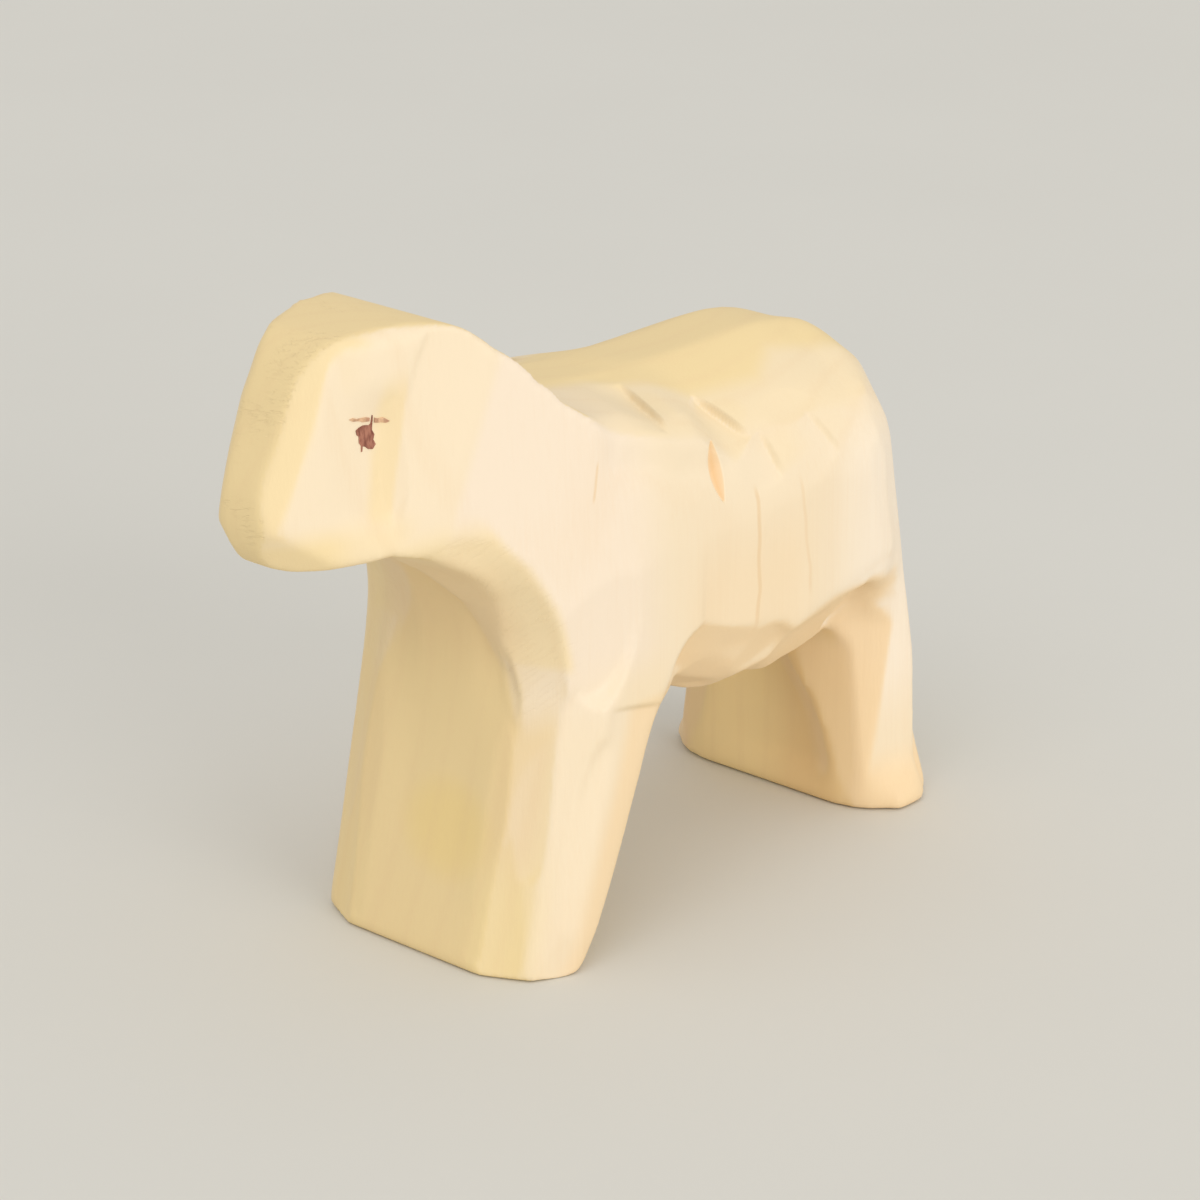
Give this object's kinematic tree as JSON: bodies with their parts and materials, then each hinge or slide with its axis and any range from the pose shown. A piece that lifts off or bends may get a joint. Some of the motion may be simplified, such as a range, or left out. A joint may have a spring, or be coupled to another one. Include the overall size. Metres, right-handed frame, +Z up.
{
  "type": "sheep figurine",
  "caption": "Standing sheep carved from pale wood with knife facets, joined leg pairs with an open arch under the belly, and painted eyes",
  "frame": {"origin": "on the floor, under the middle of the bounding box", "axes": "+X to the nose, +Y to the sheep's left, +Z up"},
  "size_m": [0.0926, 0.033, 0.0693],
  "materials": {
    "pale_wood": "knife-cut, lightly oiled",
    "eye_paint": "thin matt paint"
  },
  "bodies": {
    "root": {"carved_body": "pale_wood", "left_eye_dab": "eye_paint", "left_eye_lid_line": "eye_paint", "right_eye_dab": "eye_paint", "right_eye_lid_line": "eye_paint"}
  },
  "joints": []
}
